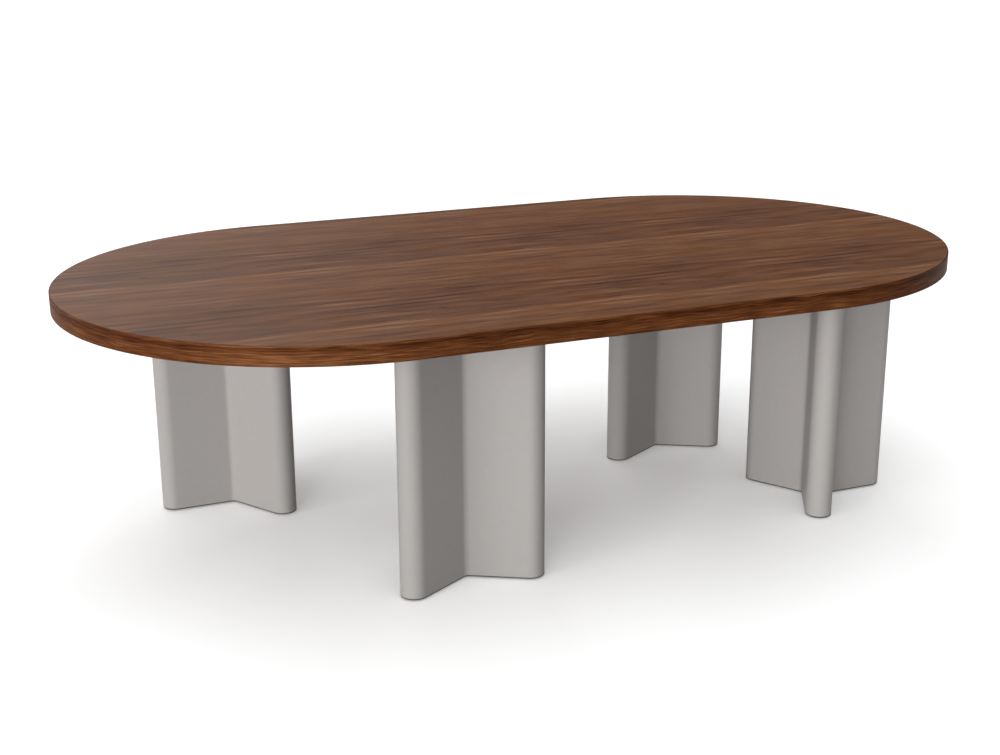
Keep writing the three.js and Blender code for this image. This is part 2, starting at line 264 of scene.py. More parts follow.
# Wood fibre: long streaks, fine fibres and short open pores. The vector's X and Y run along the grain,
# its Z and W across it: a strip is drawn on X and Z alone, a leaf that comes round is drawn on all four.
fibre, entry, leave = new_group(
    "wood_fibre",
    {
        "Vector": "NodeSocketVector",
        "W": "NodeSocketFloat",
        "Streak length": "NodeSocketFloat",
        "Streak width": "NodeSocketFloat",
    },
    {"Streaks": "NodeSocketFloat", "Fibres": "NodeSocketFloat", "Pores": "NodeSocketFloat"},
)
STREAK_DETAIL = 3.0
FIBRE_LENGTH_SHARE = 0.5
FIBRE_WIDTH_SHARE = 0.3
FIBRE_DETAIL = 2.0
PORE_SIZE = (0.009, 0.0005)
PORE_DETAIL = 1.0
PORE_STARTS_AT = (0.58, 0.7)


def as_vector(tree, x=0.0, y=0.0, z=0.0):
    return add_node(tree, "ShaderNodeCombineXYZ", {"X": x, "Y": y, "Z": z}).outputs[0]


def axes_of(tree, vector):
    return add_node(tree, "ShaderNodeSeparateXYZ", {0: vector}).outputs


def vector_calc(tree, operation, *values):
    return add_node(tree, "ShaderNodeVectorMath", dict(enumerate(values)), operation=operation).outputs


def drawn_noise(tree, vector, second, length, width, detail):
    """Noise whose marks are about length long, in X and Y, and width wide, in Z and W."""
    scaled = vector_calc(tree, "DIVIDE", vector, as_vector(tree, length, length, width))["Vector"]
    fourth = calc(tree, "DIVIDE", second, width)
    inputs = {"Vector": scaled, "W": fourth, "Scale": 1.0, "Detail": detail}
    return add_node(tree, "ShaderNodeTexNoise", inputs, noise_dimensions="4D").outputs["Fac"]


def scaled_by(tree, value, share):
    return calc(tree, "MULTIPLY", value, share)


grain, second = entry.outputs["Vector"], entry.outputs["W"]
streak_length, streak_width = entry.outputs["Streak length"], entry.outputs["Streak width"]
streaks = drawn_noise(fibre, grain, second, streak_length, streak_width, STREAK_DETAIL)
fibre_length = scaled_by(fibre, streak_length, FIBRE_LENGTH_SHARE)
fibre_width = scaled_by(fibre, streak_width, FIBRE_WIDTH_SHARE)
fibres = drawn_noise(fibre, grain, second, fibre_length, fibre_width, FIBRE_DETAIL)
pores = drawn_noise(fibre, grain, second, *PORE_SIZE, PORE_DETAIL)
fibre.links.new(spread(fibre, streaks, 0.0, 1.0), leave.inputs["Streaks"])
fibre.links.new(spread(fibre, fibres, 0.0, 1.0), leave.inputs["Fibres"])
fibre.links.new(spread(fibre, pores, 0.0, 1.0, *PORE_STARTS_AT), leave.inputs["Pores"])

# Leaf mark: one soft mark with frayed edges that comes round again in every leaf
leaf_mark, entry, leave = new_group(
    "leaf_mark",
    {
        "Vector": "NodeSocketVector",
        "Centre": "NodeSocketVector",
        "Size": "NodeSocketVector",
        "Fray": "NodeSocketFloat",
    },
    {"Mask": "NodeSocketFloat"},
)
HALF_LEAF = Vector((LEAF_LENGTH / 2, LEAF_WIDTH / 2, 1.0))
MARK_CORE = 0.15


def soft_step(tree, value, start, end, low, high):
    """A value that goes softly from low to high between the start and the end."""
    inputs = {"Value": value, "From Min": start, "From Max": end, "To Min": low, "To Max": high}
    return add_node(
        tree, "ShaderNodeMapRange", inputs, interpolation_type="SMOOTHSTEP"
    ).outputs["Result"]


offset = vector_calc(leaf_mark, "SUBTRACT", entry.outputs["Vector"], entry.outputs["Centre"])["Vector"]
wrapped = vector_calc(leaf_mark, "WRAP", offset, HALF_LEAF, -HALF_LEAF)["Vector"]
shares = vector_calc(leaf_mark, "DIVIDE", wrapped, entry.outputs["Size"])["Vector"]
reach = vector_calc(leaf_mark, "LENGTH", shares)["Value"]
frayed = calc(leaf_mark, "ADD", reach, entry.outputs["Fray"])
leaf_mark.links.new(soft_step(leaf_mark, frayed, MARK_CORE, 1.0, 1.0, 0.0), leave.inputs["Mask"])

MIDDLE = 0.5


def add_scaled(tree, total, value, share):
    """The total plus a share of a value."""
    return add_node(
        tree, "ShaderNodeMath", {0: value, 1: share, 2: total}, operation="MULTIPLY_ADD"
    ).outputs[0]


def about_half(tree, value):
    """The value less a half, so that it adds as much as it takes away."""
    return calc(tree, "SUBTRACT", value, MIDDLE)


def tone_ramp(tree, value, stops):
    """A ramp through the stops, each a place and a tone or colour."""
    ramp = add_node(tree, "ShaderNodeValToRGB", {"Fac": value})
    elements = ramp.color_ramp.elements
    while len(elements) < len(stops):
        elements.new(MIDDLE)
    for element, (position, colour) in zip(elements, stops):
        element.position = position
        element.color = colour if isinstance(colour, tuple) else (colour, colour, colour, 1)
    return ramp.outputs["Color"]


def wound(tree, value, period):
    """The value wound on to a circle as long as the period."""
    turn = scaled_by(tree, value, 2 * math.pi / period)
    radius = period / (2 * math.pi)
    return [scaled_by(tree, calc(tree, wave, turn), radius) for wave in ("COSINE", "SINE")]


def leaf_grain(tree, along, across):
    """A place on the leaf, wound both ways, so that the noise drawn there comes round in each leaf."""
    x, y = wound(tree, along, LEAF_LENGTH)
    z, w = wound(tree, across, LEAF_WIDTH)
    return as_vector(tree, x, y, z), w


def fibre_tone(tree, tone, wood, streak_share):
    """The tone with the streaks, fibres and pores of the wood added."""
    tone = add_scaled(tree, tone, about_half(tree, wood["Streaks"]), streak_share)
    tone = add_scaled(tree, tone, about_half(tree, wood["Fibres"]), FIBRE_SHARE)
    return add_scaled(tree, tone, wood["Pores"], PORE_SHARE)


def marked_tone(tree, tone, leaf_place, streaks):
    """The tone with the single marks of the leaf added, their edges frayed by the streaks."""
    fray = scaled_by(tree, about_half(tree, streaks), FEATURE_FRAY)
    for along, across, length, width, strength in LEAF_MARKS:
        inputs = {"Vector": leaf_place, "Centre": (along, across, 0), "Fray": fray}
        inputs["Size"] = (length / 2, width / 2, 1)
        mark = use_group(tree, leaf_mark, inputs).outputs["Mask"]
        tone = add_scaled(tree, tone, mark, strength * FEATURE_SHARE)
    return tone


def walnut_leaf():
    material, tree, shader, place = new_finish("walnut_leaf")
    axes = axes_of(tree, place)
    straight = calc(tree, "SUBTRACT", axes["Y"], LEAF_START)
    grain, second = leaf_grain(tree, axes["X"], straight)
    wave = about_half(tree, drawn_noise(tree, grain, second, *WANDER_SIZE, WANDER_DETAIL))
    across = add_scaled(tree, straight, wave, LEAF_WANDER)
    grain, second = leaf_grain(tree, axes["X"], across)
    length, width = LEAF_STREAK_SIZE
    inputs = {"Vector": grain, "W": second, "Streak length": length, "Streak width": width}
    wood = use_group(tree, fibre, inputs).outputs
    leaf_share = calc(tree, "FRACT", calc(tree, "DIVIDE", across, LEAF_WIDTH))
    tone = fibre_tone(tree, tone_ramp(tree, leaf_share, LEAF_BANDS), wood, LEAF_STREAK_SHARE)
    tone = marked_tone(tree, tone, as_vector(tree, axes["X"], across), wood["Streaks"])
    clouds = drawn_noise(tree, grain, second, *BLUSH_SIZE, BLUSH_DETAIL)
    blush = spread(tree, clouds, *BLUSH_SATURATION)
    colour = add_node(
        tree,
        "ShaderNodeHueSaturation",
        {"Color": tone_ramp(tree, tone, WALNUT_TONES), "Saturation": blush},
    ).outputs["Color"]
    rough = spread(tree, wood["Fibres"], *WALNUT_ROUGHNESS, 0.0, 1.0)
    set_finish(tree, shader, colour, rough)
    shader.inputs["Specular IOR Level"].default_value = WALNUT_GLOSS
    add_bump(tree, shader, calc(tree, "SUBTRACT", 1.0, wood["Pores"]), *PORE_BUMP)
    return material


SHARP_ABOVE = math.radians(30)


def shade_smooth(mesh):
    """Smooth faces, with an edge left sharp where they meet at more than the angle."""
    mesh.polygons.foreach_set("use_smooth", [True] * len(mesh.polygons))
    mesh.set_sharp_from_angle(angle=SHARP_ABOVE)
    mesh.update()


def make_piece(name, mesh, material, body, slot, *replaced):
    """An object at the origin that rides on a body and stands for solids of the model."""
    mesh.materials.clear()
    mesh.materials.append(material)
    piece = bpy.data.objects.new(name, mesh)
    bpy.context.scene.collection.objects.link(piece)
    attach(piece, body)
    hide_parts(*replaced)
    return piece


END_STEPS = 144
lipping_low, lipping_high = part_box("lipping_right_end")
end_radius = lipping_high.y
end_centre = lipping_high.x - end_radius


def end_angles(side):
    """The angles round one end of the top, anticlockwise: side is 1 on the right and -1 on the left."""
    start = -math.pi / 2 if side > 0 else math.pi / 2
    return [start + math.pi * step / END_STEPS for step in range(END_STEPS + 1)]


def racetrack(radius):
    """The outline of the top, or of a sheet inside it, from the radius of its ends."""
    return [
        (side * end_centre + radius * math.cos(angle), radius * math.sin(angle))
        for side in (1, -1)
        for angle in end_angles(side)
    ]


def sheet_mesh(name, outline, low, high):
    """A flat sheet between two heights, whose faces run straight across from edge to edge."""
    count = len(outline)
    half = count // 2
    points = [(x, y, z) for z in (low, high) for x, y in outline]
    faces = [(i, (i + 1) % count, count + (i + 1) % count, count + i) for i in range(count)]
    for i in range(half // 2):
        for first in (0, half):
            a, b = first + i, first + i + 1
            c, d = first + half - 2 - i, first + half - 1 - i
            strip = (a, b, c, d) if b != c else (a, b, d)
            faces.append(tuple(count + corner for corner in strip))
            faces.append(tuple(reversed(strip)))
    middle = (0, half - 1, half, count - 1)
    faces.append(tuple(count + corner for corner in middle))
    faces.append(tuple(reversed(middle)))
    mesh = bpy.data.meshes.new(name)
    mesh.from_pydata(points, [], faces)
    mesh.update()
    return mesh


leaf_finish = walnut_leaf()
veneer_low, veneer_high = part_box("face_veneer")
LIPPING = 0.003
face_sheet = sheet_mesh("face_veneer_leaf", racetrack(end_radius - LIPPING), veneer_low.z, veneer_high.z)
make_piece("face_veneer_leaf", face_sheet, leaf_finish, "table", "walnut_face", "face_veneer")
dress("backer_veneer", leaf_finish)

# Lipping: strips of solid walnut, 3 mm thick, glued round the edge of the boards and veneers,
# bent round the two ends, planed flush and softened along both arrises. The grain runs along each strip.
ARRIS_RADIUS = 0.0015
ARRIS_STEPS = 5
SIDE_STEPS = 4
EDGE_TONES = (
    (0.0, (0.012, 0.003, 0.001, 1)),
    (0.3, (0.036, 0.010, 0.003, 1)),
    (0.5, (0.069, 0.021, 0.006, 1)),
    (0.7, (0.110, 0.038, 0.012, 1)),
    (1.0, (0.205, 0.086, 0.034, 1)),
)
# Tone up the edge, from the underside to the face: dark growth lines flicker along the upper part
EDGE_GROUND = 0.54
EDGE_BANDS = (
    (0.00, 0.46),
    (0.06, 0.54),
    (0.30, 0.58),
    (0.52, 0.54),
    (0.66, 0.43),
    (0.76, 0.29),
    (0.86, 0.32),
    (0.93, 0.48),
    (1.00, 0.62),
)
# Tone along the edge, as a share of the way round from the back of the left end: the strips vary a little,
# and the pale patch from 0.25 to 0.35, on the front-left curve of the left end, is a painted highlight
EDGE_RUN_TONES_AND_HIGHLIGHT = (
    (0.00, 0.55),
    (0.16, 0.55),
    (0.21, 0.51),
    (0.25, 0.55),
    # A painted highlight on the front-left curve of the left end
    (0.28, 0.73),
    (0.31, 0.66),
    (0.35, 0.53),
    (0.50, 0.53),
    (0.54, 0.43),
    (0.58, 0.43),
    (0.64, 0.55),
)
EDGE_GLOSS = 0.03
EDGE_ROUGHNESS = (0.45, 0.58)
EDGE_WANDER = 0.014
EDGE_WANDER_SIZE = (0.12, 0.03)
EDGE_FLICKER_SIZE = (0.10, 0.05)
EDGE_FLICKER_DETAIL = 1.0
EDGE_FLICKER = (0.35, 1.25)
EDGE_STREAK_SIZE = (0.10, 0.003)
EDGE_STREAK_SHARE = 0.56
EDGE_MAP = "edge_run"
top_low, top_high = lipping_low.z, lipping_high.z
long_side = 2 * end_centre
half_round = math.pi * end_radius
way_round = 2 * (long_side + half_round)


def walnut_edge():
    material, tree, shader, _ = new_finish("walnut_edge")
    run = add_node(tree, "ShaderNodeUVMap", uv_map=EDGE_MAP).outputs["UV"]
    axes = axes_of(tree, run)
    straight = as_vector(tree, axes["X"], z=axes["Y"])
    wave = about_half(tree, drawn_noise(tree, straight, 0.0, *EDGE_WANDER_SIZE, WANDER_DETAIL))
    height = add_scaled(tree, axes["Y"], wave, EDGE_WANDER)
    grain = as_vector(tree, axes["X"], z=height)
    length, width = EDGE_STREAK_SIZE
    inputs = {"Vector": grain, "W": 0.0, "Streak length": length, "Streak width": width}
    wood = use_group(tree, fibre, inputs).outputs
    bands = tone_ramp(tree, calc(tree, "DIVIDE", height, top_high - top_low), EDGE_BANDS)
    flicker = drawn_noise(tree, straight, 0.0, *EDGE_FLICKER_SIZE, EDGE_FLICKER_DETAIL)
    flicker = spread(tree, flicker, *EDGE_FLICKER)
    band = calc(tree, "MULTIPLY", calc(tree, "SUBTRACT", bands, EDGE_GROUND), flicker)
    run_share = calc(tree, "DIVIDE", axes["X"], way_round)
    # Tone along the edge: small changes between strips, and a painted highlight on the front-left of the
    # left end
    ground = calc(tree, "ADD", tone_ramp(tree, run_share, EDGE_RUN_TONES_AND_HIGHLIGHT), EDGE_GROUND - MIDDLE)
    tone = fibre_tone(tree, calc(tree, "ADD", band, ground), wood, EDGE_STREAK_SHARE)
    rough = spread(tree, wood["Fibres"], *EDGE_ROUGHNESS, 0.0, 1.0)
    set_finish(tree, shader, tone_ramp(tree, tone, EDGE_TONES), rough)
    shader.inputs["Specular IOR Level"].default_value = EDGE_GLOSS
    add_bump(tree, shader, calc(tree, "SUBTRACT", 1.0, wood["Pores"]), *PORE_BUMP)
    return material


def lipping_section():
    """Distance in from the outer edge, and height, round the strip from its lower inner corner."""
    points = [(LIPPING, top_low)]
    for step in range(ARRIS_STEPS + 1):
        turn = math.pi / 2 * step / ARRIS_STEPS
        inward = ARRIS_RADIUS * (1 - math.sin(turn))
        points.append((inward, top_low + ARRIS_RADIUS * (1 - math.cos(turn))))
    for step in range(ARRIS_STEPS + 1):
        turn = math.pi / 2 * step / ARRIS_STEPS
        inward = ARRIS_RADIUS * (1 - math.cos(turn))
        points.append((inward, top_high - ARRIS_RADIUS * (1 - math.sin(turn))))
    points.append((LIPPING, top_high))
    return points


def lipping_mesh(name, stations):
    """A strip through stations along the edge: each a point, its outward direction and its run."""
    section = lipping_section()
    width = len(section)
    middle = (top_low + top_high) / 2
    points = []
    runs = []
    for x, y, out_x, out_y, run in stations:
        for inward, height in section:
            points.append((x - out_x * inward, y - out_y * inward, height))
            over = inward if height > middle else -inward
            runs.append((run, height - top_low + over))
    faces = []
    for station in range(len(stations) - 1):
        here, ahead = station * width, (station + 1) * width
        for i in range(width):
            j = (i + 1) % width
            faces.append((here + j, here + i, ahead + i, ahead + j))
    last = (len(stations) - 1) * width
    faces.append(tuple(range(width)))
    faces.append(tuple(last + i for i in reversed(range(width))))
    mesh = bpy.data.meshes.new(name)
    mesh.from_pydata(points, [], faces)
    edge_map = mesh.uv_layers.new(name=EDGE_MAP)
    for loop in mesh.loops:
        edge_map.data[loop.index].uv = runs[loop.vertex_index]
    shade_smooth(mesh)
    return mesh


def end_stations(side, run):
    stations = []
    for step, angle in enumerate(end_angles(side)):
        out_x, out_y = math.cos(angle), math.sin(angle)
        along = run + half_round * step / END_STEPS
        stations.append(
            (side * end_centre + end_radius * out_x, end_radius * out_y, out_x, out_y, along)
        )
    return stations


def side_stations(side, run):
    """Along a long side, anticlockwise: side is -1 in front and 1 behind."""
    stations = []
    for step in range(SIDE_STEPS + 1):
        along = long_side * step / SIDE_STEPS
        stations.append((side * (end_centre - along), side * end_radius, 0, side, run + along))
    return stations


edge_finish = walnut_edge()
for name, stations in (
    ("lipping_left_end", end_stations(-1, 0.0)),
    ("lipping_front", side_stations(-1, half_round)),
    ("lipping_right_end", end_stations(1, half_round + long_side)),
    ("lipping_back", side_stations(1, 2 * half_round + long_side)),
):
    strip = lipping_mesh(f"{name}_strip", stations)
    make_piece(f"{name}_strip", strip, edge_finish, "table", "walnut_edge", name)

# Columns: steel sheet folded into three round-tipped fins, hollow and open at both ends.
# Welded, ground smooth and finished in a satin warm-grey paint. The foot's outer edge is softened,
# and its last few millimetres are coloured dark grey: a painted shadow line where the foot meets the floor.
FIN_REACH = 0.226
FIN_THICKNESS = 0.075
TIP_CENTRE = FIN_REACH - FIN_THICKNESS / 2
VALLEY_RADIUS = 0.020
SHEET = 0.003
RIM_RADIUS = 0.002
RIM_STEPS = 5
TIP_STEPS = 32
VALLEY_STEPS = 14
PAINT_WARM_GREY = (0.306, 0.290, 0.278, 1)
PAINT_SHADE = (0.298, 0.282, 0.271, 1)
PAINT_GRAINS_PER_METRE = 900
PAINT_ROUGHNESS = (0.44, 0.52)
PAINT_GLOSS = 0.25
PAINT_BUMP = (0.05, 0.0001)
# Painted shadow line round the foot: its dark grey, the height of its top and the width of its soft edge
FOOT_SHADOW_GREY = (0.055, 0.052, 0.049, 1)
FOOT_SHADOW_TOP = 0.0085
FOOT_SHADOW_EDGE = 0.0006


def satin_paint():
    material, tree, shader, place = new_finish("satin_paint")
    flecks = use_group(tree, fleck, {"Vector": place, "Per metre": PAINT_GRAINS_PER_METRE})
    colour = mix_colours(tree, flecks.outputs["Cloud"], PAINT_SHADE, PAINT_WARM_GREY)
    height = axes_of(tree, place)["Z"]
    # Below this height the colour turns to the dark grey of the painted shadow line round the foot
    painted = spread(tree, height, 0.0, 1.0, FOOT_SHADOW_TOP - FOOT_SHADOW_EDGE, FOOT_SHADOW_TOP)
    rough = spread(tree, flecks.outputs["Tone"], *PAINT_ROUGHNESS, 0.0, 1.0)
    set_finish(tree, shader, mix_colours(tree, painted, FOOT_SHADOW_GREY, colour), rough)
    shader.inputs["Specular IOR Level"].default_value = PAINT_GLOSS
    add_bump(tree, shader, flecks.outputs["Tone"], *PAINT_BUMP)
    return material


def centre_of(name):
    low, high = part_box(name)
    return (low + high) / 2


def pedestal_place(name):
    """A pedestal's axis and the angle of its first fin, from where its glides stand."""
    glides = [centre_of(f"glide_foot_{name}_{third}") for third in THIRDS]
    axis = sum(glides, Vector()) / len(glides)
    first = glides[0] - axis
    return axis, math.atan2(first.y, first.x)


def arc_points(x, y, radius, start, end, steps):
    angles = [start + (end - start) * step / steps for step in range(steps + 1)]
    return [(x + radius * math.cos(angle), y + radius * math.sin(angle)) for angle in angles]


def fin_angle(turn, third):
    return turn + 2 * math.pi * (third - 1) / len(THIRDS)


def fin_outline(axis, turn, inset):
    """The plan of a column, drawn in by inset: three round tips and three round valleys."""
    half = FIN_THICKNESS / 2 - inset
    valley = VALLEY_RADIUS + inset
    valley_centre = (half + valley) / math.sin(math.pi / 3)
    points = []
    for third in THIRDS:
        fin = fin_angle(turn, third)
        bay = fin + math.pi / 3
        tip_x = axis.x + TIP_CENTRE * math.cos(fin)
        tip_y = axis.y + TIP_CENTRE * math.sin(fin)
        points += arc_points(tip_x, tip_y, half, fin - math.pi / 2, fin + math.pi / 2, TIP_STEPS)
        valley_x = axis.x + valley_centre * math.cos(bay)
        valley_y = axis.y + valley_centre * math.sin(bay)
        facing = bay + math.pi
        points += arc_points(
            valley_x, valley_y, valley, facing + math.pi / 6, facing - math.pi / 6, VALLEY_STEPS
        )
    return points


def ring_loft(name, rings):
    """A closed skin over rings of points, the last of which joins the first."""
    width = len(rings[0])
    points = [point for ring in rings for point in ring]
    faces = []
    for index in range(len(rings)):
        here, ahead = index * width, (index + 1) % len(rings) * width
        for i in range(width):
            j = (i + 1) % width
            faces.append((here + i, here + j, ahead + j, ahead + i))
    mesh = bpy.data.meshes.new(name)
    mesh.from_pydata(points, [], faces)
    shade_smooth(mesh)
    return mesh


def column_mesh(name, axis, turn, low, high):
    def ring(inset, height):
        return [(x, y, height) for x, y in fin_outline(axis, turn, inset)]

    rings = []
    for step in range(RIM_STEPS + 1):
        angle = math.pi / 2 * step / RIM_STEPS
        rings.append(ring(RIM_RADIUS * (1 - math.sin(angle)), low + RIM_RADIUS * (1 - math.cos(angle))))
    rings += [ring(0, high), ring(SHEET, high), ring(SHEET, low)]
    return ring_loft(name, rings)


paint_finish = satin_paint()
for name in PEDESTALS:
    axis, turn = pedestal_place(name)
    low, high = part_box(f"column_{name}")
    column = column_mesh(f"column_{name}_sheet", axis, turn, low.z, high.z)
    make_piece(f"column_{name}_sheet", column, paint_finish, "table", "satin_paint", f"column_{name}")

# Mount plates: steel plates welded across the tops of the three fins, with a bolt hole in each bay.
# Laser-cut to a round-cornered triangle, eased along both edges and painted with the column.
MOUNT_EASE = 0.0008
MOUNT_CORNER_STEPS = 24
BOLT_HOLE = 0.009
HOLE_STEPS = 32


def mount_plate_mesh(name, axis, turn, low, high, bolts):
    """A plate with three holes, filled between its outline and the holes, then given its thickness."""
    outline = []
    for third in THIRDS:
        fin = fin_angle(turn, third)
        x, y = axis.x + TIP_CENTRE * math.cos(fin), axis.y + TIP_CENTRE * math.sin(fin)
        outline += arc_points(
            x, y, FIN_THICKNESS / 2, fin - math.pi / 3, fin + math.pi / 3, MOUNT_CORNER_STEPS
        )
    loops = [outline]
    for bolt in bolts:
        loops.append(arc_points(bolt.x, bolt.y, BOLT_HOLE / 2, 0, 2 * math.pi, HOLE_STEPS)[:-1])
    curve = bpy.data.curves.new(name, "CURVE")
    curve.dimensions = "2D"
    curve.fill_mode = "BOTH"
    curve.extrude = (high - low) / 2 - MOUNT_EASE
    curve.bevel_depth = MOUNT_EASE
    curve.offset = -MOUNT_EASE
    for loop in loops:
        spline = curve.splines.new("POLY")
        spline.points.add(len(loop) - 1)
        spline.use_cyclic_u = True
        for point, (x, y) in zip(spline.points, loop):
            point.co = (x, y, 0, 1)
    drawing = bpy.data.objects.new(name, curve)
    bpy.context.scene.collection.objects.link(drawing)
    graph = bpy.context.evaluated_depsgraph_get()
    mesh = bpy.data.meshes.new_from_object(drawing.evaluated_get(graph))
    bpy.data.objects.remove(drawing)
    bpy.data.curves.remove(curve)
    mesh.transform(Matrix.Translation((0, 0, (low + high) / 2)))
    shade_smooth(mesh)
    return mesh


for name in PEDESTALS:
    axis, turn = pedestal_place(name)
    low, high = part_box(f"mount_plate_{name}")
    bolts = [centre_of(f"bolt_{name}_{third}") for third in THIRDS]
    plate = mount_plate_mesh(f"mount_plate_{name}_eased", axis, turn, low.z, high.z, bolts)
    make_piece(
        f"mount_plate_{name}_eased", plate, paint_finish, "table", "satin_paint", f"mount_plate_{name}"
    )

# Base plates: steel plates inside the feet of the columns, each with a tapped boss in every fin.
# Cut, welded and zinc plated. They show only from below, in the solids' own shape.
for name in PEDESTALS:
    dress(f"base_plate_{name}", zinc_finish)

# Bolts: zinc-plated flange bolts, three to a pedestal, driven up through the mount plate
# and the lower board into the anchor plate. Only the flange and the six-sided head show.
BOLT_HEAD_WIDTH = 0.013
BOLT_FLANGE_DIAMETER = 0.017
BOLT_FLANGE_HEIGHT = 0.0015
BOLT_SHANK_DIAMETER = 0.008
BOLT_SIDES = 40
HEAD_SIDES = 6
RADIUS_OF_WIDTH = 0.5
HEAD_FACE_OF_WIDTH = 0.475
FLANGE_SLOPE_OF_WIDTH = 0.45
SHANK_ROOT_IN_FLANGE = 0.5
BOLT_SEED = 4
bolt_seats = []
for name in PEDESTALS:
    plate_low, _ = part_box(f"mount_plate_{name}")
    for third in THIRDS:
        middle = centre_of(f"bolt_{name}_{third}")
        bolt_seats.append((middle.x, middle.y, plate_low.z))
bolt_low, bolt_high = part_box(f"bolt_{PEDESTALS[0]}_1")
bolt_sizes = {
    "Head width": BOLT_HEAD_WIDTH,
    "Head height": bolt_seats[0][2] - bolt_low.z,
    "Flange diameter": BOLT_FLANGE_DIAMETER,
    "Flange height": BOLT_FLANGE_HEIGHT,
    "Shank diameter": BOLT_SHANK_DIAMETER,
    "Shank length": bolt_high.z - bolt_seats[0][2],
}


def bolt_tree(material):
    """Geometry nodes that set a flange bolt, head down, on every point."""
    tree = bpy.data.node_groups.new("flange_bolts", "GeometryNodeTree")
    tree.interface.new_socket("Geometry", in_out="INPUT", socket_type="NodeSocketGeometry")
    for label in bolt_sizes:
        tree.interface.new_socket(label, in_out="INPUT", socket_type="NodeSocketFloat")
    tree.interface.new_socket("Geometry", in_out="OUTPUT", socket_type="NodeSocketGeometry")
    entry = tree.nodes.new("NodeGroupInput").outputs
    leave = tree.nodes.new("NodeGroupOutput")

    def lifted(geometry, height):
        inputs = {"Geometry": geometry, "Translation": as_vector(tree, z=height)}
        return add_node(tree, "GeometryNodeTransform", inputs).outputs["Geometry"]

    def disc(sides, bottom, top, height):
        cone = {"Vertices": sides, "Radius Bottom": bottom, "Radius Top": top, "Depth": height}
        return add_node(tree, "GeometryNodeMeshCone", cone).outputs["Mesh"]

    def joined(operation, *meshes):
        join = add_node(tree, "GeometryNodeMeshBoolean", operation=operation, solver="EXACT")
        for mesh in meshes:
            tree.links.new(mesh, join.inputs["Mesh 2"])
        return join.outputs["Mesh"]

    corner_of_width = RADIUS_OF_WIDTH / math.cos(math.pi / HEAD_SIDES)
    head_corner = scaled_by(tree, entry["Head width"], corner_of_width)
    head_face = scaled_by(tree, entry["Head width"], HEAD_FACE_OF_WIDTH)
    head_down = scaled_by(tree, entry["Head height"], -1.0)
    head_bell = calc(tree, "ADD", head_face, entry["Head height"])
    hexagon = lifted(disc(HEAD_SIDES, head_corner, head_corner, entry["Head height"]), head_down)
    bell = lifted(disc(BOLT_SIDES, head_face, head_bell, entry["Head height"]), head_down)
    head = joined("INTERSECT", hexagon, bell)
    flange_edge = scaled_by(tree, entry["Flange diameter"], RADIUS_OF_WIDTH)
    flange_slope = scaled_by(tree, entry["Flange diameter"], FLANGE_SLOPE_OF_WIDTH)
    flange_down = scaled_by(tree, entry["Flange height"], -1.0)
    flange = lifted(disc(BOLT_SIDES, flange_slope, flange_edge, entry["Flange height"]), flange_down)
    shank_radius = scaled_by(tree, entry["Shank diameter"], RADIUS_OF_WIDTH)
    shank_root = scaled_by(tree, entry["Flange height"], -SHANK_ROOT_IN_FLANGE)
    shank_length = calc(tree, "SUBTRACT", entry["Shank length"], shank_root)
    shank = lifted(disc(BOLT_SIDES, shank_radius, shank_radius, shank_length), shank_root)
    bolt = joined("UNION", head, flange, shank)
    turn = add_node(
        tree,
        "FunctionNodeRandomValue",
        {"Min": (0, 0, 0), "Max": (0, 0, 2 * math.pi / HEAD_SIDES), "Seed": BOLT_SEED},
        data_type="FLOAT_VECTOR",
    ).outputs["Value"]
    placed = add_node(
        tree,
        "GeometryNodeInstanceOnPoints",
        {"Points": entry["Geometry"], "Instance": bolt, "Rotation": turn},
    ).outputs["Instances"]
    real = add_node(tree, "GeometryNodeRealizeInstances", {"Geometry": placed}).outputs["Geometry"]
    finished = add_node(tree, "GeometryNodeSetMaterial", {"Geometry": real, "Material": material})
    tree.links.new(finished.outputs["Geometry"], leave.inputs["Geometry"])
    return tree


def mesh_from_nodes(name, points, tree, sizes):
    """Runs a geometry nodes tree on bare points and returns the plain mesh that it makes."""
    seats = bpy.data.meshes.new(f"{name}_seats")
    seats.from_pydata(points, [], [])
    carrier = bpy.data.objects.new(f"{name}_seats", seats)
    bpy.context.scene.collection.objects.link(carrier)
    modifier = carrier.modifiers.new("nodes", "NODES")
    modifier.node_group = tree
    for socket in tree.interface.items_tree:
        if socket.in_out == "INPUT" and socket.name in sizes:
            modifier[socket.identifier] = sizes[socket.name]
    graph = bpy.context.evaluated_depsgraph_get()
    mesh = bpy.data.meshes.new_from_object(carrier.evaluated_get(graph))
    carrier.modifiers.remove(modifier)
    bpy.data.objects.remove(carrier)
    bpy.data.meshes.remove(seats)
    mesh.name = name
    return mesh


bolt_mesh = mesh_from_nodes("flange_bolts", bolt_seats, bolt_tree(zinc_finish), bolt_sizes)
shade_smooth(bolt_mesh)
bolt_names = [f"bolt_{name}_{third}" for name in PEDESTALS for third in THIRDS]
make_piece("flange_bolts", bolt_mesh, zinc_finish, "table", "zinc_steel", *bolt_names)

# Glide feet: black nylon feet that the table stands on, one under each fin.
# Moulded as a disc with a sloping shoulder and a hub, whose socket snaps over the ball of the stem.
FOOT_SIDES = 64
FOOT_FILLET = 0.0015
FOOT_RIM = 0.005
HUB_RADIUS = 0.011
HUB_FILLET = 0.0008
FILLET_STEPS = 5
SOCKET_FLOOR = 0.003
SOCKET_RADIUS = 0.0056
SOCKET_MIDDLE = 0.0083
LIP_RADIUS = 0.0044
NYLON_BLACK = (0.012, 0.012, 0.013, 1)
NYLON_SCUFFED = (0.032, 0.032, 0.033, 1)
NYLON_GRAINS_PER_METRE = 1400
NYLON_ROUGHNESS = (0.48, 0.66)
NYLON_BUMP = (0.15, 0.0001)


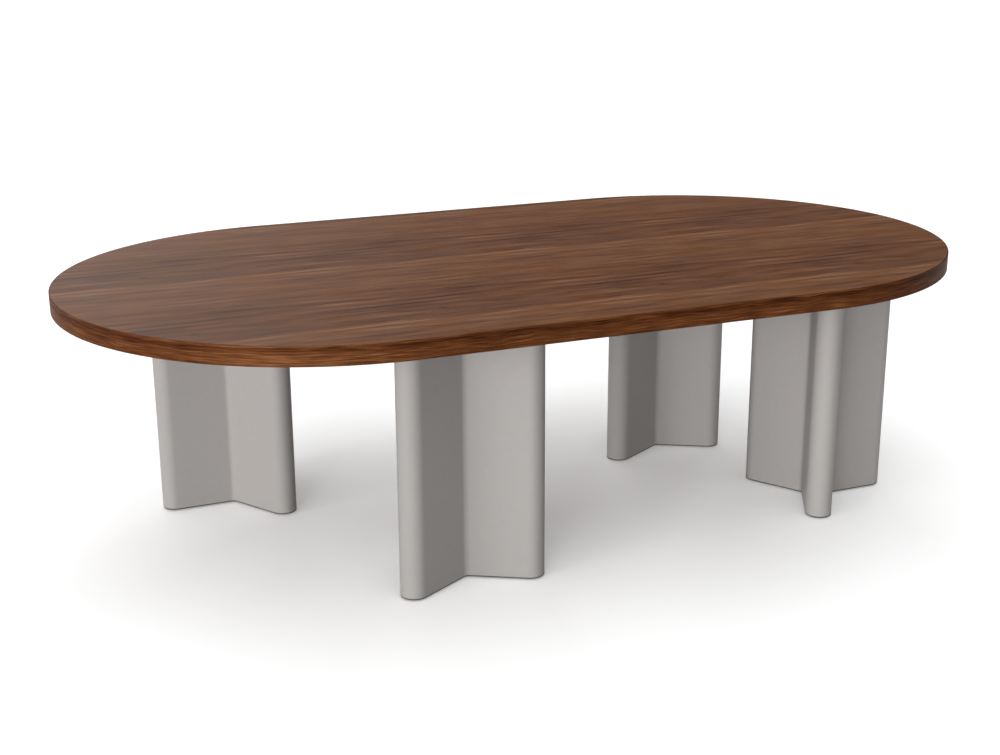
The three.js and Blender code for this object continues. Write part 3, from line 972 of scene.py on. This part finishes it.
def moulded_nylon():
    material, tree, shader, place = new_finish("moulded_nylon")
    flecks = use_group(tree, fleck, {"Vector": place, "Per metre": NYLON_GRAINS_PER_METRE})
    colour = mix_colours(tree, flecks.outputs["Cloud"], NYLON_BLACK, NYLON_SCUFFED)
    rough = spread(tree, flecks.outputs["Tone"], *NYLON_ROUGHNESS, 0.0, 1.0)
    set_finish(tree, shader, colour, rough)
    add_bump(tree, shader, flecks.outputs["Tone"], *NYLON_BUMP)
    return material


def turned_mesh(name, middle, profile, sides):
    """A piece turned about a vertical axis. Each step of the profile is a height and a radius,
    or a height and a function of the angle; it starts and ends with a radius of 0, on the axis."""
    angles = [2 * math.pi * side / sides for side in range(sides)]
    points = [(middle.x, middle.y, profile[0][0])]
    for height, radius in profile[1:-1]:
        for angle in angles:
            reach = radius(angle) if callable(radius) else radius
            points.append((middle.x + reach * math.cos(angle), middle.y + reach * math.sin(angle), height))
    points.append((middle.x, middle.y, profile[-1][0]))
    last = len(points) - 1
    last_ring = last - sides
    faces = []
    for i in range(sides):
        j = (i + 1) % sides
        faces.append((0, 1 + j, 1 + i))
        for ring in range(1, last_ring, sides):
            faces.append((ring + i, ring + j, ring + sides + j, ring + sides + i))
        faces.append((last, last_ring + i, last_ring + j))
    mesh = bpy.data.meshes.new(name)
    mesh.from_pydata(points, [], faces)
    shade_smooth(mesh)
    return mesh


def rounded(height, radius, fillet, start, end):
    """Steps of a profile round a fillet, whose middle is at that height and radius."""
    angles = [start + (end - start) * step / FILLET_STEPS for step in range(FILLET_STEPS + 1)]
    return [(height + fillet * math.sin(angle), radius + fillet * math.cos(angle)) for angle in angles]


def foot_profile(floor, top, radius):
    shoulder = math.atan2(top - floor - FOOT_RIM, radius - HUB_RADIUS)
    slope = math.pi / 2 - shoulder
    lip_height = SOCKET_MIDDLE + math.sqrt(SOCKET_RADIUS**2 - LIP_RADIUS**2)
    profile = [(floor, 0)]
    profile += rounded(floor + FOOT_FILLET, radius - FOOT_FILLET, FOOT_FILLET, -math.pi / 2, 0)
    profile += rounded(floor + FOOT_RIM - FOOT_FILLET, radius - FOOT_FILLET, FOOT_FILLET, 0, slope)
    profile += rounded(top - HUB_FILLET, HUB_RADIUS - HUB_FILLET, HUB_FILLET, slope, math.pi / 2)
    profile += [(top, LIP_RADIUS), (floor + lip_height, LIP_RADIUS)]
    profile += [(floor + SOCKET_MIDDLE, SOCKET_RADIUS), (floor + SOCKET_FLOOR, SOCKET_RADIUS)]
    profile.append((floor + SOCKET_FLOOR, 0))
    return profile


nylon_finish = moulded_nylon()
for name in PEDESTALS:
    for third in THIRDS:
        low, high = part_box(f"glide_foot_{name}_{third}")
        profile = foot_profile(low.z, high.z, (high.x - low.x) / 2)
        foot = turned_mesh(f"glide_foot_{name}_{third}_moulded", (low + high) / 2, profile, FOOT_SIDES)
        make_piece(
            f"glide_foot_{name}_{third}_moulded",
            foot,
            nylon_finish,
            f"foot_{name}_{third}",
            "black_nylon",
            f"glide_foot_{name}_{third}",
        )

# Glide stems: steel screws with a ball that turns in the foot, and a six-sided collar for a spanner.
# Turned from hexagon bar, thread rolled, zinc plated, and screwed up into the bosses of the base plate.
STEM_SIDES = 36
BALL_RADIUS = 0.005
BALL_STEPS = 8
NECK_RADIUS = 0.0035
COLLAR_WIDTH = 0.017
COLLAR_HEIGHT = 0.005
COLLAR_TOP = 0.020
COLLAR_CHAMFER = 0.0006
CREST_RADIUS = 0.005
ROOT_RADIUS = 0.0042
THREAD_PITCH = 0.0015
STEPS_PER_TURN = 6
THREAD_RUN_OUT = 0.001


def six_sided(width):
    """The radius of a hexagon at an angle, from its width across flats."""
    return lambda angle: width / 2 / math.cos((angle + math.pi / 6) % (math.pi / 3) - math.pi / 6)


def thread_at(height):
    """The radius of the thread at one height, at an angle: a ridge that climbs one pitch in a turn."""

    def radius(angle):
        share = (height / THREAD_PITCH - angle / (2 * math.pi)) % 1
        ridge = 1 - abs(2 * share - 1)
        return ROOT_RADIUS + (CREST_RADIUS - ROOT_RADIUS) * ridge

    return radius


def stem_profile(bottom, top):
    neck_turn = math.pi - math.asin(NECK_RADIUS / BALL_RADIUS)
    profile = []
    for step in range(BALL_STEPS + 1):
        turn = neck_turn * step / BALL_STEPS
        profile.append((bottom + BALL_RADIUS * (1 - math.cos(turn)), BALL_RADIUS * math.sin(turn)))
    collar_low = COLLAR_TOP - COLLAR_HEIGHT
    face = COLLAR_WIDTH / 2 - COLLAR_CHAMFER
    profile += [
        (collar_low, NECK_RADIUS),
        (collar_low, face),
        (collar_low + COLLAR_CHAMFER, six_sided(COLLAR_WIDTH)),
        (COLLAR_TOP - COLLAR_CHAMFER, six_sided(COLLAR_WIDTH)),
        (COLLAR_TOP, face),
        (COLLAR_TOP, ROOT_RADIUS),
    ]
    threaded = top - THREAD_RUN_OUT - COLLAR_TOP - THREAD_RUN_OUT
    steps = round(threaded / THREAD_PITCH * STEPS_PER_TURN)
    for step in range(steps + 1):
        height = COLLAR_TOP + THREAD_RUN_OUT + threaded * step / steps
        profile.append((height, thread_at(height)))
    profile += [(top, ROOT_RADIUS - THREAD_RUN_OUT / 2), (top, 0)]
    return profile


for name in PEDESTALS:
    for third in THIRDS:
        low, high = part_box(f"glide_stem_{name}_{third}")
        profile = stem_profile(low.z, high.z)
        stem = turned_mesh(f"glide_stem_{name}_{third}_screw", (low + high) / 2, profile, STEM_SIDES)
        make_piece(
            f"glide_stem_{name}_{third}_screw",
            stem,
            zinc_finish,
            f"stem_{name}_{third}",
            "zinc_steel",
            f"glide_stem_{name}_{third}",
        )

# Floor: a wide plain white floor, dead matt, that carries the table's soft shadow.
# It is part of the studio and not of the table. Seen directly it glows a little, as a white sweep does,
# it throws little of its white back up on to the table, and from below it can be looked through.
FLOOR_HALF = 80.0
FLOOR_WHITE = (1.0, 1.0, 1.0, 1)
FLOOR_BOUNCE = (0.28, 0.28, 0.28, 1)
FLOOR_GLOW = 0.18


def floor_white():
    material, tree, shader, _ = new_finish("floor_white")
    rays = add_node(tree, "ShaderNodeLightPath").outputs
    seen = calc(tree, "MAXIMUM", rays["Is Camera Ray"], rays["Is Glossy Ray"])
    seen = calc(tree, "MAXIMUM", seen, rays["Is Transmission Ray"])
    tree.links.new(mix_colours(tree, seen, FLOOR_BOUNCE, FLOOR_WHITE), shader.inputs["Base Color"])
    tree.links.new(scaled_by(tree, seen, FLOOR_GLOW), shader.inputs["Emission Strength"])
    shader.inputs["Emission Color"].default_value = FLOOR_WHITE
    shader.inputs["Roughness"].default_value = 1.0
    shader.inputs["Specular IOR Level"].default_value = 0.0
    back = add_node(tree, "ShaderNodeNewGeometry").outputs["Backfacing"]
    clear = add_node(tree, "ShaderNodeBsdfTransparent").outputs["BSDF"]
    from_below = calc(tree, "MULTIPLY", back, rays["Is Camera Ray"])
    faces = add_node(tree, "ShaderNodeMixShader", {0: from_below, 1: shader.outputs["BSDF"], 2: clear})
    tree.links.new(faces.outputs["Shader"], tree.nodes["Material Output"].inputs["Surface"])
    return material


floor_mesh = bpy.data.meshes.new("studio_floor")
floor_corners = [
    (-FLOOR_HALF, -FLOOR_HALF, 0),
    (FLOOR_HALF, -FLOOR_HALF, 0),
    (FLOOR_HALF, FLOOR_HALF, 0),
    (-FLOOR_HALF, FLOOR_HALF, 0),
]
floor_mesh.from_pydata(floor_corners, [], [(0, 1, 2, 3)])
floor_mesh.materials.append(floor_white())
studio_floor = bpy.data.objects.new("studio_floor", floor_mesh)
bpy.context.scene.collection.objects.link(studio_floor)

# Light: a room with a pale ceiling, light on the left and dim on the right, with a white backdrop round it.
# Three soft lamps low on the left and the front left model the fins. Two more, behind on the right,
# fill the far sides and give no highlight.
CEILING_LEVEL = 1.30
BACKDROP_LEVEL = 1.0
ROOM_WHITE = (1, 1, 1, 1)
# Level of the walls by the ray's share of the way across the room, from the left to the right
WALL_LEVELS = ((0.0, 0.05), (0.3, 0.95), (0.44, 0.98), (0.685, 0.02), (1.0, 0.02))
CEILING_STARTS_AT = (0.45, 0.95)
BACKDROP_ENDS_AT = (0.04, 0.09)
# Where each lamp stands, in degrees anticlockwise from the right of the table, and its strength
LAMP_LEVELS = {195: 1.65, 215: 1.05, 235: 2.3}
FILL_LEVELS = {45: 1.3, 80: 0.9}
LAMP_HEIGHT = math.radians(5)
LAMP_SPREAD = math.radians(24)


def mix_levels(tree, factor, first, second):
    """Two levels mixed by a factor. The sockets 2 and 3 and the output 0 are the node's plain values."""
    return add_node(tree, "ShaderNodeMix", {0: factor, 2: first, 3: second}).outputs[0]


world = bpy.data.worlds.new("studio_room")
bpy.context.scene.world = world
world.use_nodes = True
room = world.node_tree
ray = add_node(room, "ShaderNodeTexCoord").outputs["Generated"]
ray_axes = axes_of(room, ray)
walls = tone_ramp(room, spread(room, ray_axes["X"], 0.0, 1.0, -1.0, 1.0), WALL_LEVELS)
ceiling = soft_step(room, ray_axes["Z"], *CEILING_STARTS_AT, 0.0, 1.0)
level = mix_levels(room, ceiling, walls, CEILING_LEVEL)
rays = add_node(room, "ShaderNodeLightPath").outputs
backdrop = soft_step(room, ray_axes["Z"], *BACKDROP_ENDS_AT, 1.0, 0.0)
mirrored = calc(room, "MAXIMUM", rays["Is Glossy Ray"], rays["Is Transmission Ray"])
white = calc(room, "MAXIMUM", rays["Is Camera Ray"], calc(room, "MULTIPLY", mirrored, backdrop))
level = mix_levels(room, white, level, BACKDROP_LEVEL)
room.links.new(level, room.nodes["Background"].inputs["Strength"])
room.nodes["Background"].inputs["Color"].default_value = ROOM_WHITE

for towards, strength in (LAMP_LEVELS | FILL_LEVELS).items():
    lamp = bpy.data.lights.new(f"soft_lamp_{towards}", "SUN")
    lamp.energy = strength
    lamp.angle = LAMP_SPREAD
    lamp_object = bpy.data.objects.new(lamp.name, lamp)
    lamp_object.visible_glossy = towards in LAMP_LEVELS
    lamp_object.rotation_euler = (math.pi / 2 - LAMP_HEIGHT, 0, math.radians(towards) + math.pi / 2)
    bpy.context.scene.collection.objects.link(lamp_object)

# Camera: standing height, in front and to the left, with a normal to long lens.
CAMERA_AT = Vector((-1.7264, -3.9133, 1.6878))
CAMERA_AZIMUTH = math.radians(-23.597)
CAMERA_ELEVATION = math.radians(17.637)
CAMERA_ROLL = math.radians(-0.093)
CAMERA_LENS = 55.1
CAMERA_SHIFT = (-0.0166, 0.0186)
CAMERA_SENSOR = 36.0
CAMERA_SEES_TO = 300.0

camera = bpy.data.cameras.new("camera")
camera.sensor_width = CAMERA_SENSOR
camera.lens = CAMERA_LENS
camera.shift_x, camera.shift_y = CAMERA_SHIFT
camera.clip_end = CAMERA_SEES_TO
viewer = bpy.data.objects.new("camera", camera)
backwards = Vector(
    (
        math.sin(CAMERA_AZIMUTH) * math.cos(CAMERA_ELEVATION),
        -math.cos(CAMERA_AZIMUTH) * math.cos(CAMERA_ELEVATION),
        math.sin(CAMERA_ELEVATION),
    )
)
facing = (-backwards).to_track_quat("-Z", "Y").to_matrix().to_4x4()
viewer.matrix_world = Matrix.Translation(CAMERA_AT) @ facing @ Matrix.Rotation(CAMERA_ROLL, 4, "Z")
bpy.context.scene.collection.objects.link(viewer)
bpy.context.scene.camera = viewer
bpy.context.scene.view_settings.view_transform = "Standard"
